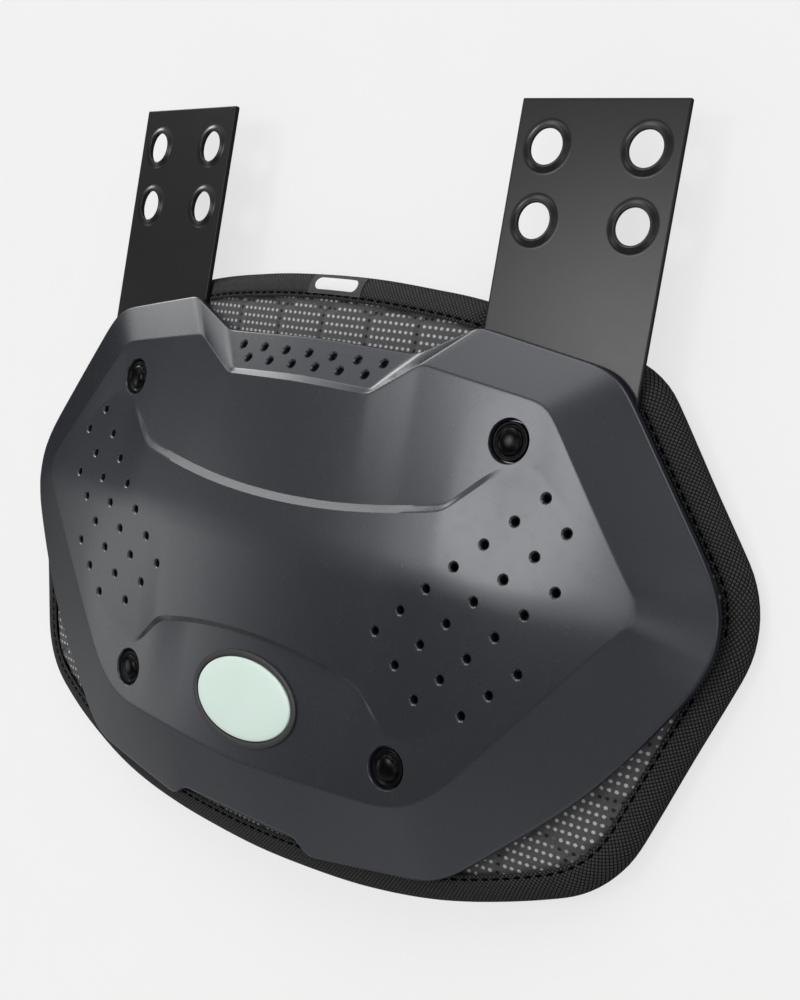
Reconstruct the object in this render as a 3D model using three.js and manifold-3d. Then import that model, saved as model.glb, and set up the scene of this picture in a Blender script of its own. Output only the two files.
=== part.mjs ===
// Football back plate: a moulded plastic shell riveted to a foam pad, with two hanger straps.
// Millimetres. X runs across the back, Y up the back towards the straps, Z away from the back.
// The plate lies on its pad, outer face up. The origin is the bottom centre of its box.
import * as THREE from 'three';
import { mergeVertices } from 'three/addons/utils/BufferGeometryUtils.js';
import Module from 'manifold-3d';

const wasm = await Module();
wasm.setup();

// Clearance between neighbouring pieces
const GAP = 0.3;

// Plate frame: Z = 0 is the outer face of the straps, FLOOR the level that the pad rests on
const FLOOR = -15;

// Moulded shell: wall, outer face and free edge, both rolled round an axis along Y
const SHELL_WALL = 2;
const FACE_CROWN = 16.4;
const FACE_RADIUS = 763;
const EDGE_CROWN = 6.8;
const EDGE_RADIUS = 1033;

// The face falls away above and below a soft level ridge
const RIDGE = { y: 2.5, slopeAbove: 0.066, slopeBelow: 0.06, softness: 5.3 };

// Right half of the shell, top middle to bottom middle: corners of the free edge and of the
// crease round the raised panel, each with its fillet radius
const SHELL_CORNERS = [
  { name: 'vent middle', edge: [0, 64.8, 0], crease: [0, 50.6, 0] },
  { name: 'notch', edge: [40.4, 63.7, 3], crease: [30, 50, 2] },
  { name: 'ear', edge: [60.2, 73.4, 3], crease: [46.5, 60.8, 2] },
  { name: 'shoulder', edge: [104.4, 66, 18], crease: [88.7, 54.9, 10] },
  { name: 'side', edge: [148.8, 5.2, 28.7], crease: [125.9, 7, 7.5] },
  { name: 'flank', edge: [119.1, -41.5, 170], crease: [100.5, -24.1, 200] },
  { name: 'hip', edge: [77.6, -80.2, 26.5], crease: [68.8, -62.9, 36] },
  { name: 'tail', edge: [30.7, -87.9, 3], crease: [30, -65.2, 20] },
  { name: 'tail notch', edge: [25.3, -83.7, 3], crease: [25, -65.6, 20] },
  { name: 'tail middle', edge: [0, -83.7, 0], crease: [0, -67, 0] },
];
const SIDE_CORNER = 4;

// The vent panel lies below the raised panel, behind a small step
const VENT_STEP = { rise: 1.7, run: 2.1 };

// Two shallow recesses in the raised panel. Each starts at a curved step, which turns at
// `corner` and runs out at `tip`, and fades away from the step
const UPPER_RECESS = { depth: 1.8, middle: 14.3, corner: [64, 21.8], tip: [78, 34.5], run: 2 };
const LOWER_RECESS = { depth: 1.6, middle: -26.5, corner: [44.5, -31.5], tip: [55.5, -42.2], run: -1.8 };

// A step takes up at most this share of the panel beyond it, and the ridge stays between these
// shares of the way from the lower step to the upper one
const STEP_SHARE = 0.2;
const RIDGE_SHARES = [0.4, 0.7];

// Columns of the shell's face, dense at the corners
const SHELL_COLUMNS = [0, 10, 20, 30, 38, 46.5, 55.5, 64, 71, 78, 84, 88, 92, 99, 106, 112, 117.5, 122];

// Perforations: slanting rows on the right half, and two rows of vents on the top panel
const HOLE_DIAMETER = 3.2;
const HOLE_SIDES = 8;
const HOLE_STEP = [-7.62, -7.65];
const HOLE_ROWS = [
  { start: [94, 30.8], count: 7 },
  { start: [102, 22.9], count: 7 },
  { start: [102.3, 7.4], count: 6 },
  { start: [95.3, -15.9], count: 3 },
];
const VENT_PITCH = 10;
const VENT_ROWS = [
  { y: 59.7, first: -3 * VENT_PITCH, count: 7 },
  { y: 55.7, first: -2.5 * VENT_PITCH, count: 6 },
];

// Rivets sit in round seats moulded into the shell
const RIVETS = [
  { name: 'rivet_upper', x: 79.5, y: 43.8, length: 17 },
  { name: 'rivet_lower', x: 58, y: -52.2, length: 15.5 },
];
const RIVET = { headRadius: 5.5, headHeight: 1.2, shankRadius: 2.5 };
const RIVET_DOME = { radius: 4, shoulderRadius: 3, flatRadius: 1.4, shoulder: 1.9, top: 2.1 };
const RIVET_SEAT = { radius: 6, depth: 2.2, floor: 1.6, wall: 1.6 };
const RIVET_SIDES = 16;

// Foam pad: front face, and a back that is flat at the sides and vaulted in the middle
const PAD_CROWN = 4;
const PAD_RADIUS = 800;
const PAD_LEAN = 0.006;
const PAD_VAULT = { height: 9, halfWidth: 110 };

// Seam between pad and binding, right half, top middle to bottom middle: x, y, fillet radius
const PAD_CORNERS = [
  { name: 'top middle', at: [0, 79.1, 420] },
  { name: 'nape', at: [56, 74.6, 200] },
  { name: 'shoulder', at: [106.6, 62.3, 18] },
  { name: 'side', at: [144.8, 9.6, 24] },
  { name: 'hip', at: [118.3, -62.1, 29] },
  { name: 'tail', at: [73.4, -82.2, 200] },
  { name: 'bottom middle', at: [0, -88.7, 420] },
];
const PAD_STEPS_PER_SIDE = 6;
const PAD_RINGS = [0.75, 0.5, 0.25];

// Binding: a D-shaped roll outside the seam
const BINDING_WIDTH = 7.4;
const BINDING_SECTION_STEPS = 8;

// Bare label patch on the top middle of the binding. `arc` is in half turns round the roll, from
// straight out towards the front
const LABEL = { halfWidth: 9.5, thickness: 0.5, lift: 0.6, arc: [0.2, 0.5], steps: 4 };

// Hanger straps: the tongue behind the shell is thinned on its back
const STRAP = {
  width: 50.8, thickness: 2.2, middle: 84.3, top: 137.6, bottom: 36, yaw: 4.2, cornerRadius: 2,
};
const STRAP_TONGUE = { top: 87, thickness: 1.8 };
const STRAP_HOLES = { diameter: 9.7, spacingX: 30.2, spacingY: 20.3, middleY: 114.2, sides: 16 };
const STRAP_LIP = { height: 0.9, width: 2.6, land: 0.8 };

// Plain oval badge on the lower recess
const BADGE = { x: 0, y: -47.5, width: 46, height: 29, thickness: 0.8, rim: 2, rimThickness: 0.9 };
const BADGE_SIDES = 32;

const COLOURS = {
  shell: { color: '#4b4d50', roughness: 0.42, metalness: 0 },
  pad: { color: '#3d3e3f', roughness: 0.9, metalness: 0 },
  binding: { color: '#191a1b', roughness: 0.85, metalness: 0 },
  strap: { color: '#3b3c3d', roughness: 0.35, metalness: 0 },
  rivet: { color: '#0a0a0b', roughness: 0.15, metalness: 0 },
  badge: { color: '#cddfd7', roughness: 0.5, metalness: 0 },
  badgeRim: { color: '#17191a', roughness: 0.5, metalness: 0 },
  label: { color: '#454647', roughness: 0.85, metalness: 0 },
};

// Heights of the curved faces

const rolled = (crown, radius, x) => crown - (x * x) / (2 * radius);

const edgeHeight = (x) => rolled(EDGE_CROWN, EDGE_RADIUS, x);

function faceHeight(x, y) {
  const { slopeAbove, slopeBelow, softness } = RIDGE;
  const rise = y - RIDGE.y;
  const lean = ((slopeAbove - slopeBelow) / 2) * rise;
  const fold = ((slopeAbove + slopeBelow) / 2) * (Math.hypot(rise, softness) - softness);
  return rolled(FACE_CROWN, FACE_RADIUS, x) - lean - fold;
}

const padFront = (x, y) => rolled(PAD_CROWN, PAD_RADIUS, x) - PAD_LEAN * y;

function padBack(x) {
  const across = Math.min(1, Math.abs(x) / PAD_VAULT.halfWidth);
  return FLOOR + PAD_VAULT.height * (1 - across * across);
}

// Outlines with rounded corners

const FILLET_STEPS = 12;
const HALVINGS = 40;

function fillet(before, [x, y, radius], after) {
  if (!radius) return [[x, y]];
  const back = new THREE.Vector2(before[0] - x, before[1] - y).normalize();
  const ahead = new THREE.Vector2(after[0] - x, after[1] - y).normalize();
  const half = back.angleTo(ahead) / 2;
  const middle = back.clone().add(ahead).normalize();
  const centre = middle.clone().multiplyScalar(radius / Math.sin(half)).add(new THREE.Vector2(x, y));
  const sweep = Math.PI - 2 * half;
  const turn = Math.sign(back.cross(ahead));
  const apex = middle.clone().multiplyScalar(-radius);
  return Array.from({ length: FILLET_STEPS + 1 }, (_, i) => {
    const spoke = apex.clone().rotateAround(new THREE.Vector2(), -turn * sweep * (i / FILLET_STEPS - 0.5));
    return [centre.x + spoke.x, centre.y + spoke.y];
  });
}

// A path down the right half, in stretches that each join the middles of two fillets. It crosses
// x = 0 at both ends, where the left half mirrors it
function roundedPath(corners) {
  const mirrored = ([x, y]) => [-x, y];
  const arcs = corners.map((corner, i) => {
    const before = corners[i - 1] ?? mirrored(corners[i + 1]);
    const after = corners[i + 1] ?? mirrored(corners[i - 1]);
    return fillet(before, corner, after);
  });
  return arcs.slice(1).map((arc, i) => {
    const out = arcs[i].slice((arcs[i].length - 1) / 2);
    const into = arc.slice(0, (arc.length - 1) / 2 + 1);
    return [...out, ...into];
  });
}

function pointAlong(stretch, fraction) {
  const steps = stretch.slice(1).map((p, i) => Math.hypot(p[0] - stretch[i][0], p[1] - stretch[i][1]));
  let left = fraction * steps.reduce((sum, step) => sum + step, 0);
  for (let i = 0; i < steps.length; i += 1) {
    if (left <= steps[i] || i === steps.length - 1) {
      const t = steps[i] ? Math.min(1, left / steps[i]) : 0;
      return [0, 1].map((k) => stretch[i][k] + t * (stretch[i + 1][k] - stretch[i][k]));
    }
    left -= steps[i];
  }
  return stretch[0];
}

// Where a path that runs steadily outwards, or inwards, passes x
function crossing(path, stretches, x) {
  let best = null;
  for (const k of stretches) {
    let low = 0;
    let high = 1;
    const rising = pointAlong(path[k], 1)[0] > pointAlong(path[k], 0)[0];
    for (let i = 0; i < HALVINGS; i += 1) {
      const middle = (low + high) / 2;
      if (pointAlong(path[k], middle)[0] < x === rising) low = middle;
      else high = middle;
    }
    const miss = Math.abs(pointAlong(path[k], low)[0] - x);
    if (!best || miss < best.miss) best = { k, f: low, miss, y: pointAlong(path[k], low)[1] };
  }
  return best;
}

// Solids

function asSolid(geometry) {
  const bare = geometry.clone();
  bare.deleteAttribute('normal');
  bare.deleteAttribute('uv');
  const merged = mergeVertices(bare, 1e-4);
  const vertProperties = new Float32Array(merged.attributes.position.array);
  const triVerts = new Uint32Array(merged.index.array);
  return new wasm.Manifold(new wasm.Mesh({ numProp: 3, vertProperties, triVerts }));
}

function asGeometry(solid) {
  const { vertProperties, triVerts } = solid.getMesh();
  const geometry = new THREE.BufferGeometry();
  geometry.setAttribute('position', new THREE.BufferAttribute(new Float32Array(vertProperties), 3));
  geometry.setIndex(Array.from(triVerts));
  geometry.computeVertexNormals();
  return geometry;
}

const cut = (geometry, cutters) => asGeometry(
  cutters.reduce((solid, cutter) => solid.subtract(asSolid(cutter)), asSolid(geometry)),
);

const join = (geometry, others) => asGeometry(
  others.reduce((solid, other) => solid.add(asSolid(other)), asSolid(geometry)),
);

// A closed plate from points [x, y, top, bottom], triangles seen from above and its boundary loop
function slab(points, triangles, boundary) {
  const count = points.length;
  const positions = [2, 3].flatMap((level) => points.flatMap((p) => [p[0], p[1], p[level]]));
  const index = triangles.flatMap(([a, b, c]) => [a, b, c, a + count, c + count, b + count]);
  boundary.forEach((a, i) => {
    const b = boundary[(i + 1) % boundary.length];
    index.push(a, a + count, b, b, a + count, b + count);
  });
  const geometry = new THREE.BufferGeometry();
  geometry.setAttribute('position', new THREE.Float32BufferAttribute(positions, 3));
  geometry.setIndex(index);
  return geometry;
}

const quad = (a, b, c, d) => [[a, b, c], [a, c, d]];

// Moulded shell

const edgePath = roundedPath(SHELL_CORNERS.map(({ edge }) => edge));
const creasePath = roundedPath(SHELL_CORNERS.map(({ crease }) => crease));
const TOP_STRETCHES = [0, 1, 2, 3];
const BOTTOM_STRETCHES = [4, 5, 6, 7, 8];

// Height at x of a recess's step, and how much of its depth is left there
function recessStep({ middle, corner, tip }, x, bottom, top) {
  if (x <= corner[0]) return { y: middle + (corner[1] - middle) * (x / corner[0]) ** 2, share: 1 };
  if (x <= tip[0]) {
    const t = (x - corner[0]) / (tip[0] - corner[0]);
    return { y: corner[1] + t * (tip[1] - corner[1]), share: 1 - t };
  }
  const tipTop = crossing(creasePath, TOP_STRETCHES, tip[0]).y;
  const tipBottom = crossing(creasePath, BOTTOM_STRETCHES, tip[0]).y;
  const level = (tip[1] - tipBottom) / (tipTop - tipBottom);
  return { y: bottom + level * (top - bottom), share: 0 };
}

// One column of the raised panel, bottom crease to top crease, as [y, depth below the face]
function panelColumn(x, bottom, top) {
  const upper = recessStep(UPPER_RECESS, x, bottom, top);
  const lower = recessStep(LOWER_RECESS, x, bottom, top);
  const upperFoot = upper.y + Math.min(UPPER_RECESS.run, STEP_SHARE * (top - upper.y));
  const lowerFoot = lower.y + Math.max(LOWER_RECESS.run, STEP_SHARE * (bottom - lower.y));
  const upperDepth = UPPER_RECESS.depth * upper.share;
  const lowerDepth = LOWER_RECESS.depth * lower.share;
  const [ridgeLow, ridgeHigh] = RIDGE_SHARES.map((share) => THREE.MathUtils.lerp(lower.y, upper.y, share));
  const ridge = THREE.MathUtils.clamp(RIDGE.y, ridgeLow, ridgeHigh);
  return [
    [bottom, 0],
    [(bottom + lowerFoot) / 2, lowerDepth / 2],
    [lowerFoot, lowerDepth],
    [lower.y, 0],
    [(lower.y + ridge) / 2, 0],
    [ridge, 0],
    [(upper.y + ridge) / 2, 0],
    [upper.y, 0],
    [upperFoot, upperDepth],
    [(top + upperFoot) / 2, upperDepth / 2],
    [top, 0],
  ];
}

function shellBlank() {
  const points = [];
  const put = (x, y, height) => points.push([x, y, height, height - SHELL_WALL]) - 1;

  // The face, one column of points at a time, with the matching place on the crease path
  const rightColumns = SHELL_COLUMNS.map((x) => {
    const high = crossing(creasePath, TOP_STRETCHES, x);
    const low = crossing(creasePath, BOTTOM_STRETCHES, x);
    const rows = panelColumn(x, low.y, high.y).map(([y, depth]) => [x, y, depth]);
    return { rows, high, low };
  });
  const last = rightColumns.at(-1);
  const rowCount = last.rows.length;
  last.ring = last.rows.map((_, i) => {
    const s = (2 * i) / (rowCount - 1) - 1;
    if (s < 0) return { k: SIDE_CORNER, f: -s * last.low.f };
    return { k: SIDE_CORNER - 1, f: 1 - s * (1 - last.high.f) };
  });
  last.rows = last.ring.map(({ k, f }) => [...pointAlong(creasePath[k], f), 0]);

  const build = (column, side) => ({
    ...column,
    side,
    ids: column.rows.map(([x, y, depth]) => put(side * x, y, faceHeight(x, y) - depth)),
  });
  const left = rightColumns.slice(1).reverse().map((column) => build(column, -1));
  const columns = [...left, ...rightColumns.map((column) => build(column, 1))];
  const triangles = columns.slice(1).flatMap((column, c) => column.ids.slice(1).flatMap((id, r) => (
    quad(columns[c].ids[r], column.ids[r], id, columns[c].ids[r + 1])
  )));

  // Round the face, anticlockwise: bottom row, right corner, top row, left corner
  const ringOf = ({ ids, ring, side }) => ring.map((place, r) => ({ id: ids[r], side, ...place }));
  const inner = columns.slice(1, -1);
  const round = [
    ...inner.map(({ ids, low, side }) => ({ id: ids[0], side, ...low })),
    ...ringOf(columns.at(-1)),
    ...inner.map(({ ids, high, side }) => ({ id: ids.at(-1), side, ...high })).reverse(),
    ...ringOf(columns[0]).reverse(),
  ];

  // The flange falls from the crease to the free edge. On the vent panel it starts with a step
  const flange = round.map(({ id, side, k, f }) => {
    const [x, y, height] = points[id];
    const [edgeX, edgeY] = pointAlong(edgePath[k], f);
    const foot = edgeHeight(edgeX);
    const vent = k === 0;
    const share = vent ? VENT_STEP.run / Math.hypot(edgeX - Math.abs(x), edgeY - y) : 0.5;
    const stepX = x + share * (side * edgeX - x);
    const stepY = y + share * (edgeY - y);
    const stepHeight = vent ? height - VENT_STEP.rise : (height + foot) / 2;
    return { id, step: put(stepX, stepY, stepHeight), edge: put(side * edgeX, edgeY, foot) };
  });
  flange.forEach((from, i) => {
    const to = flange[(i + 1) % flange.length];
    triangles.push(...quad(from.id, from.step, to.step, to.id));
    triangles.push(...quad(from.step, from.edge, to.edge, to.step));
  });
  return slab(points, triangles, flange.map(({ edge }) => edge));
}

// A frame on the shell's face: origin on it, Z along its normal
function faceFrame(x, y, depth = 0) {
  const probe = 1;
  const slopeX = (faceHeight(x + probe, y) - faceHeight(x - probe, y)) / (2 * probe);
  const slopeY = (faceHeight(x, y + probe) - faceHeight(x, y - probe)) / (2 * probe);
  const normal = new THREE.Vector3(-slopeX, -slopeY, 1).normalize();
  const turn = new THREE.Quaternion().setFromUnitVectors(new THREE.Vector3(0, 0, 1), normal);
  const place = new THREE.Vector3(x, y, faceHeight(x, y) - depth);
  return new THREE.Matrix4().compose(place, turn, new THREE.Vector3(1, 1, 1));
}

// A round bar along Z from `low` to `high`
function bar(radius, low, high, sides) {
  const geometry = new THREE.CylinderGeometry(radius, radius, high - low, sides);
  return geometry.rotateX(Math.PI / 2).translate(0, 0, (low + high) / 2);
}

const BOTH_SIDES = [{ side: -1, tag: 'left' }, { side: 1, tag: 'right' }];

const rivetPlaces = RIVETS.flatMap((rivet) => BOTH_SIDES.map(({ side, tag }) => ({
  ...rivet, name: `${rivet.name}_${tag}`, frame: faceFrame(side * rivet.x, rivet.y),
})));

function perforations() {
  const reach = FACE_CROWN;
  const side = HOLE_ROWS.flatMap(({ start, count }) => Array.from({ length: count }, (_, i) => (
    [start[0] + i * HOLE_STEP[0], start[1] + i * HOLE_STEP[1]]
  )));
  const vents = VENT_ROWS.flatMap(({ y, first, count }) => Array.from({ length: count }, (_, i) => (
    [first + i * VENT_PITCH, y]
  )));
  const places = [...side, ...side.map(([x, y]) => [-x, y]), ...vents];
  return places.map(([x, y]) => bar(HOLE_DIAMETER / 2, -reach, reach, HOLE_SIDES)
    .translate(x, y, faceHeight(x, y)));
}

function shell() {
  const { radius, depth, floor, wall } = RIVET_SEAT;
  const atRivets = (size, low, high) => rivetPlaces.map(({ frame }) => (
    bar(size, low, high, RIVET_SIDES).applyMatrix4(frame)
  ));
  const bosses = atRivets(radius + wall, -depth - floor, -SHELL_WALL / 2);
  const seats = atRivets(radius, -depth, depth);
  const bores = atRivets(RIVET.shankRadius + GAP, -2 * depth - floor, 0);
  return cut(join(shellBlank(), bosses), [...seats, ...bores, ...perforations()]);
}

// Rivet: domed head and shank, turned about Z, with its head seated at the origin
function rivet(length) {
  const { headRadius, headHeight, shankRadius } = RIVET;
  const { radius, shoulderRadius, flatRadius, shoulder, top } = RIVET_DOME;
  const seat = -RIVET_SEAT.depth + GAP;
  const profile = [
    [0, -length], [shankRadius, -length], [shankRadius, 0], [headRadius, 0], [headRadius, headHeight],
    [radius, headHeight], [shoulderRadius, shoulder], [flatRadius, top], [0, top],
  ].map(([r, z]) => new THREE.Vector2(r, seat + z));
  return new THREE.LatheGeometry(profile, RIVET_SIDES).rotateX(Math.PI / 2);
}

// Pad and binding

const seamPath = roundedPath(PAD_CORNERS.map(({ at }) => at));

// The seam as a closed loop, anticlockwise from the bottom middle
function seamLoop() {
  const half = seamPath.flatMap((stretch) => Array.from({ length: PAD_STEPS_PER_SIDE }, (_, i) => (
    pointAlong(stretch, i / PAD_STEPS_PER_SIDE)
  )));
  const end = pointAlong(seamPath.at(-1), 1);
  const right = [end, ...half.slice(1).reverse()];
  const left = [half[0], ...half.slice(1).map(([x, y]) => [-x, y])];
  return [...right, ...left];
}

function outwardNormals(loop) {
  return loop.map((_, i) => {
    const before = loop[(i + loop.length - 1) % loop.length];
    const after = loop[(i + 1) % loop.length];
    return new THREE.Vector2(after[1] - before[1], before[0] - after[0]).normalize();
  });
}

// Cutters for what lies behind the shell: the rivets' shanks, and pockets that the straps press
// into the foam, both with clearance
const shankBores = rivetPlaces.map(({ frame, length }) => (
  bar(RIVET.shankRadius + GAP, -RIVET_SEAT.depth - length, 0, RIVET_SIDES).applyMatrix4(frame)));

const strapFrame = (side) => new THREE.Matrix4()
  .makeRotationY(THREE.MathUtils.degToRad(side * STRAP.yaw))
  .setPosition(side * STRAP.middle, 0, 0);

const strapPockets = BOTH_SIDES.map(({ side }) => {
  const length = STRAP.top - STRAP.bottom + 2 * GAP;
  const depth = STRAP.width;
  return new THREE.BoxGeometry(STRAP.width + 2 * GAP, length, depth)
    .translate(0, (STRAP.top + STRAP.bottom) / 2, depth / 2 - STRAP_TONGUE.thickness - GAP)
    .applyMatrix4(strapFrame(side));
});

function pad() {
  const loop = seamLoop();
  const points = [];
  const put = (x, y) => points.push([x, y, padFront(x, y), padBack(x)]) - 1;
  const rings = [1, ...PAD_RINGS].map((share) => loop.map(([x, y]) => put(share * x, share * y)));
  const middle = put(0, 0);
  const next = (i) => (i + 1) % loop.length;
  const bands = rings.slice(1).flatMap((ring, r) => ring.flatMap((id, i) => (
    quad(rings[r][i], rings[r][next(i)], ring[next(i)], id)
  )));
  const core = rings.at(-1).map((id, i) => [id, rings.at(-1)[next(i)], middle]);
  return cut(slab(points, [...bands, ...core], rings[0]), [...shankBores, ...strapPockets]);
}

// A roll swept along part of the seam. `section` gives [outwards, height share] points, anticlockwise
function sweep(loop, normals, section, closed) {
  const width = section.length;
  const positions = loop.flatMap(([x, y], i) => {
    const front = padFront(x, y);
    const back = padBack(x);
    return section.flatMap(([out, level]) => [
      x + out * normals[i].x, y + out * normals[i].y, (front + back) / 2 + (level * (front - back)) / 2,
    ]);
  });
  const index = [];
  const spans = closed ? loop.length : loop.length - 1;
  for (let i = 0; i < spans; i += 1) {
    const j = (i + 1) % loop.length;
    for (let s = 0; s < width; s += 1) {
      const t = (s + 1) % width;
      index.push(...quad(i * width + s, j * width + s, j * width + t, i * width + t).flat());
    }
  }
  if (!closed) {
    const outline = section.map(([out, level]) => new THREE.Vector2(out, level));
    const end = (loop.length - 1) * width;
    THREE.ShapeUtils.triangulateShape(outline, []).forEach(([a, b, c]) => {
      index.push(a, b, c, end + a, end + c, end + b);
    });
  }
  const geometry = new THREE.BufferGeometry();
  geometry.setAttribute('position', new THREE.Float32BufferAttribute(positions, 3));
  geometry.setIndex(index);
  return geometry;
}

const onRoll = (angle, width, inflate) => [
  GAP + (width + inflate) * Math.cos(angle), Math.sin(angle) * (1 + inflate / BINDING_WIDTH),
];

function binding() {
  const loop = seamLoop();
  const arc = Array.from({ length: BINDING_SECTION_STEPS + 1 }, (_, i) => (
    onRoll(Math.PI * (i / BINDING_SECTION_STEPS - 0.5), BINDING_WIDTH - GAP, 0)
  ));
  return cut(sweep(loop, outwardNormals(loop), arc, true), strapPockets);
}

function labelPatch() {
  const { halfWidth, thickness, lift, arc, steps } = LABEL;
  const shares = Array.from({ length: steps + 1 }, (_, i) => i / steps);
  const across = shares.map((share) => halfWidth * (1 - 2 * share));
  const loop = across.map((x) => [x, crossing(seamPath, [0], Math.abs(x)).y]);
  const normals = loop.map(() => new THREE.Vector2(0, 1));
  const angles = shares.map((share) => Math.PI * THREE.MathUtils.lerp(arc[0], arc[1], share));
  const outer = angles.map((angle) => onRoll(angle, BINDING_WIDTH, lift + thickness));
  const inner = angles.map((angle) => onRoll(angle, BINDING_WIDTH, lift)).reverse();
  return sweep(loop, normals, [...outer, ...inner], false);
}

// Strap in its own frame: X across from its middle line, Y up the back, Z = 0 on its outer face
function strap() {
  const { width, thickness, top, bottom, cornerRadius } = STRAP;
  const half = width / 2;
  const outline = new THREE.Shape();
  outline.moveTo(-half, bottom + cornerRadius);
  outline.absarc(-half + cornerRadius, bottom + cornerRadius, cornerRadius, Math.PI, 1.5 * Math.PI);
  outline.absarc(half - cornerRadius, bottom + cornerRadius, cornerRadius, 1.5 * Math.PI, 2 * Math.PI);
  outline.lineTo(half, top);
  outline.lineTo(-half, top);
  const sheet = { depth: thickness, bevelEnabled: false, curveSegments: 3 };
  const blank = new THREE.ExtrudeGeometry(outline, sheet).translate(0, 0, -thickness);

  const { diameter, spacingX, spacingY, middleY, sides } = STRAP_HOLES;
  const radius = diameter / 2;
  const places = [-0.5, 0.5].flatMap((i) => [-0.5, 0.5].map((j) => [i * spacingX, middleY + j * spacingY]));
  const lipProfile = [
    [0, -thickness / 2], [radius + STRAP_LIP.width, -thickness / 2], [radius + STRAP_LIP.width, 0],
    [radius + STRAP_LIP.land, STRAP_LIP.height], [0, STRAP_LIP.height],
  ].map(([r, z]) => new THREE.Vector2(r, z));
  const lips = places.map(([x, y]) => new THREE.LatheGeometry(lipProfile, sides)
    .rotateX(Math.PI / 2).translate(x, y, 0));
  const holes = places.map(([x, y]) => bar(radius, -2 * thickness, 2 * thickness, sides).translate(x, y, 0));

  const tongueHeight = STRAP_TONGUE.top - bottom;
  const thinned = new THREE.BoxGeometry(2 * width, 2 * tongueHeight, thickness)
    .translate(0, STRAP_TONGUE.top - tongueHeight, -STRAP_TONGUE.thickness - thickness / 2);
  return cut(join(blank, lips), [...holes, thinned]);
}

// The strap's frame is undone on the rivets' bores, so that they pierce it where it stands
function boredStrap(side) {
  const undo = strapFrame(side).invert();
  return cut(strap(), shankBores.map((bore) => bore.clone().applyMatrix4(undo)));
}

// Badge: an oval rim plate with a smaller oval on it
function oval(width, height, thickness) {
  const outline = new THREE.Shape();
  outline.absellipse(0, 0, width / 2, height / 2, 0, 2 * Math.PI);
  return new THREE.ExtrudeGeometry(outline, {
    depth: thickness, bevelEnabled: false, curveSegments: BADGE_SIDES / 2,
  });
}

// Assembly

const plate = new THREE.Group();

function add(name, geometry, look, frame = new THREE.Matrix4()) {
  const mesh = new THREE.Mesh(geometry, new THREE.MeshStandardMaterial(look));
  mesh.name = name;
  frame.decompose(mesh.position, mesh.quaternion, mesh.scale);
  plate.add(mesh);
  return mesh;
}

add('shell', shell(), COLOURS.shell);
add('pad', pad(), COLOURS.pad);
add('pad_binding', binding(), COLOURS.binding);
add('label_patch', labelPatch(), COLOURS.label);
BOTH_SIDES.forEach(({ side, tag }) => add(`strap_${tag}`, boredStrap(side), COLOURS.strap, strapFrame(side)));
rivetPlaces.forEach(({ name, length, frame }) => add(name, rivet(length), COLOURS.rivet, frame));

const badgeSeat = faceFrame(BADGE.x, BADGE.y, LOWER_RECESS.depth / 2 - 2 * GAP);
const badgeLift = new THREE.Matrix4().makeTranslation(0, 0, BADGE.rimThickness + GAP);
add('badge_rim', oval(BADGE.width, BADGE.height, BADGE.rimThickness), COLOURS.badgeRim, badgeSeat);
add(
  'badge',
  oval(BADGE.width - 2 * BADGE.rim, BADGE.height - 2 * BADGE.rim, BADGE.thickness),
  COLOURS.badge,
  badgeSeat.clone().multiply(badgeLift),
);

// Set the plate down with the bottom centre of its box on the origin
const box = new THREE.Box3().setFromObject(plate);
plate.position.set(0, -(box.min.y + box.max.y) / 2, -box.min.z);

const backPlate = new THREE.Group();
backPlate.add(plate);

export default backPlate;
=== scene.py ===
# %% [markdown]
# # A football back plate
# The object hangs from a set of shoulder pads and guards the lower back. A moulded plastic shell is
# riveted over a foam pad, the pad is covered in knitted mesh and bound with woven tape, and two drilled
# straps come out from under the shell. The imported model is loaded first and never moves: every piece
# below is made over it.

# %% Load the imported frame
import math

import bmesh
import bpy
from mathutils import Matrix, Vector
from mathutils.bvhtree import BVHTree


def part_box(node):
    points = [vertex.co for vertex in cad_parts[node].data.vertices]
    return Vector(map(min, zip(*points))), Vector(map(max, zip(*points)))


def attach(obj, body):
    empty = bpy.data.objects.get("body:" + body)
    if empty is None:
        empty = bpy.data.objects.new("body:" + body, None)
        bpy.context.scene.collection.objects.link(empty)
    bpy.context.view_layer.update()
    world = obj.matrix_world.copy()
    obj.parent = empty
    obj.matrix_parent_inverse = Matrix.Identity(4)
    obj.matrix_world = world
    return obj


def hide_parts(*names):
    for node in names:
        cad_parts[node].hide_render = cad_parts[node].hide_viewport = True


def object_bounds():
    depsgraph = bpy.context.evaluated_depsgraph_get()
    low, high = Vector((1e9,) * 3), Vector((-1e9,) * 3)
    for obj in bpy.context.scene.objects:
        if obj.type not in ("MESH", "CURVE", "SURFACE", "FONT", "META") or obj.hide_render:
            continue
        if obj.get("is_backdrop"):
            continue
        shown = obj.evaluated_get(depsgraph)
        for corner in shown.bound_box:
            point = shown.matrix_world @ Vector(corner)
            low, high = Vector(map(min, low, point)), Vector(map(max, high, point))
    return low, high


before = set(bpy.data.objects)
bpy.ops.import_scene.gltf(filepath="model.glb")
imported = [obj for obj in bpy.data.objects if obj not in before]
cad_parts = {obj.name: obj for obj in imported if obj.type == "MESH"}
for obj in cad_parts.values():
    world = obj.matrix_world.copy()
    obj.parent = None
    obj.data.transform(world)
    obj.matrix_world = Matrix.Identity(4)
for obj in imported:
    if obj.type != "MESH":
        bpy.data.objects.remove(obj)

cad_box = [list(corner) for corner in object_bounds()]
print("nodes in the frame:", ", ".join(sorted(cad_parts)))

# %% [markdown]
# ## Plate millimetres
# A moulding is easier to think about in millimetres, measured from the plate itself: x across it, y up it
# and z out of its face. The numbers could be typed in metres in the frame straight away, but small
# decimals hide mistakes. So each piece is modelled in plate millimetres, and one matrix carries it to the
# frame at the end.

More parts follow.
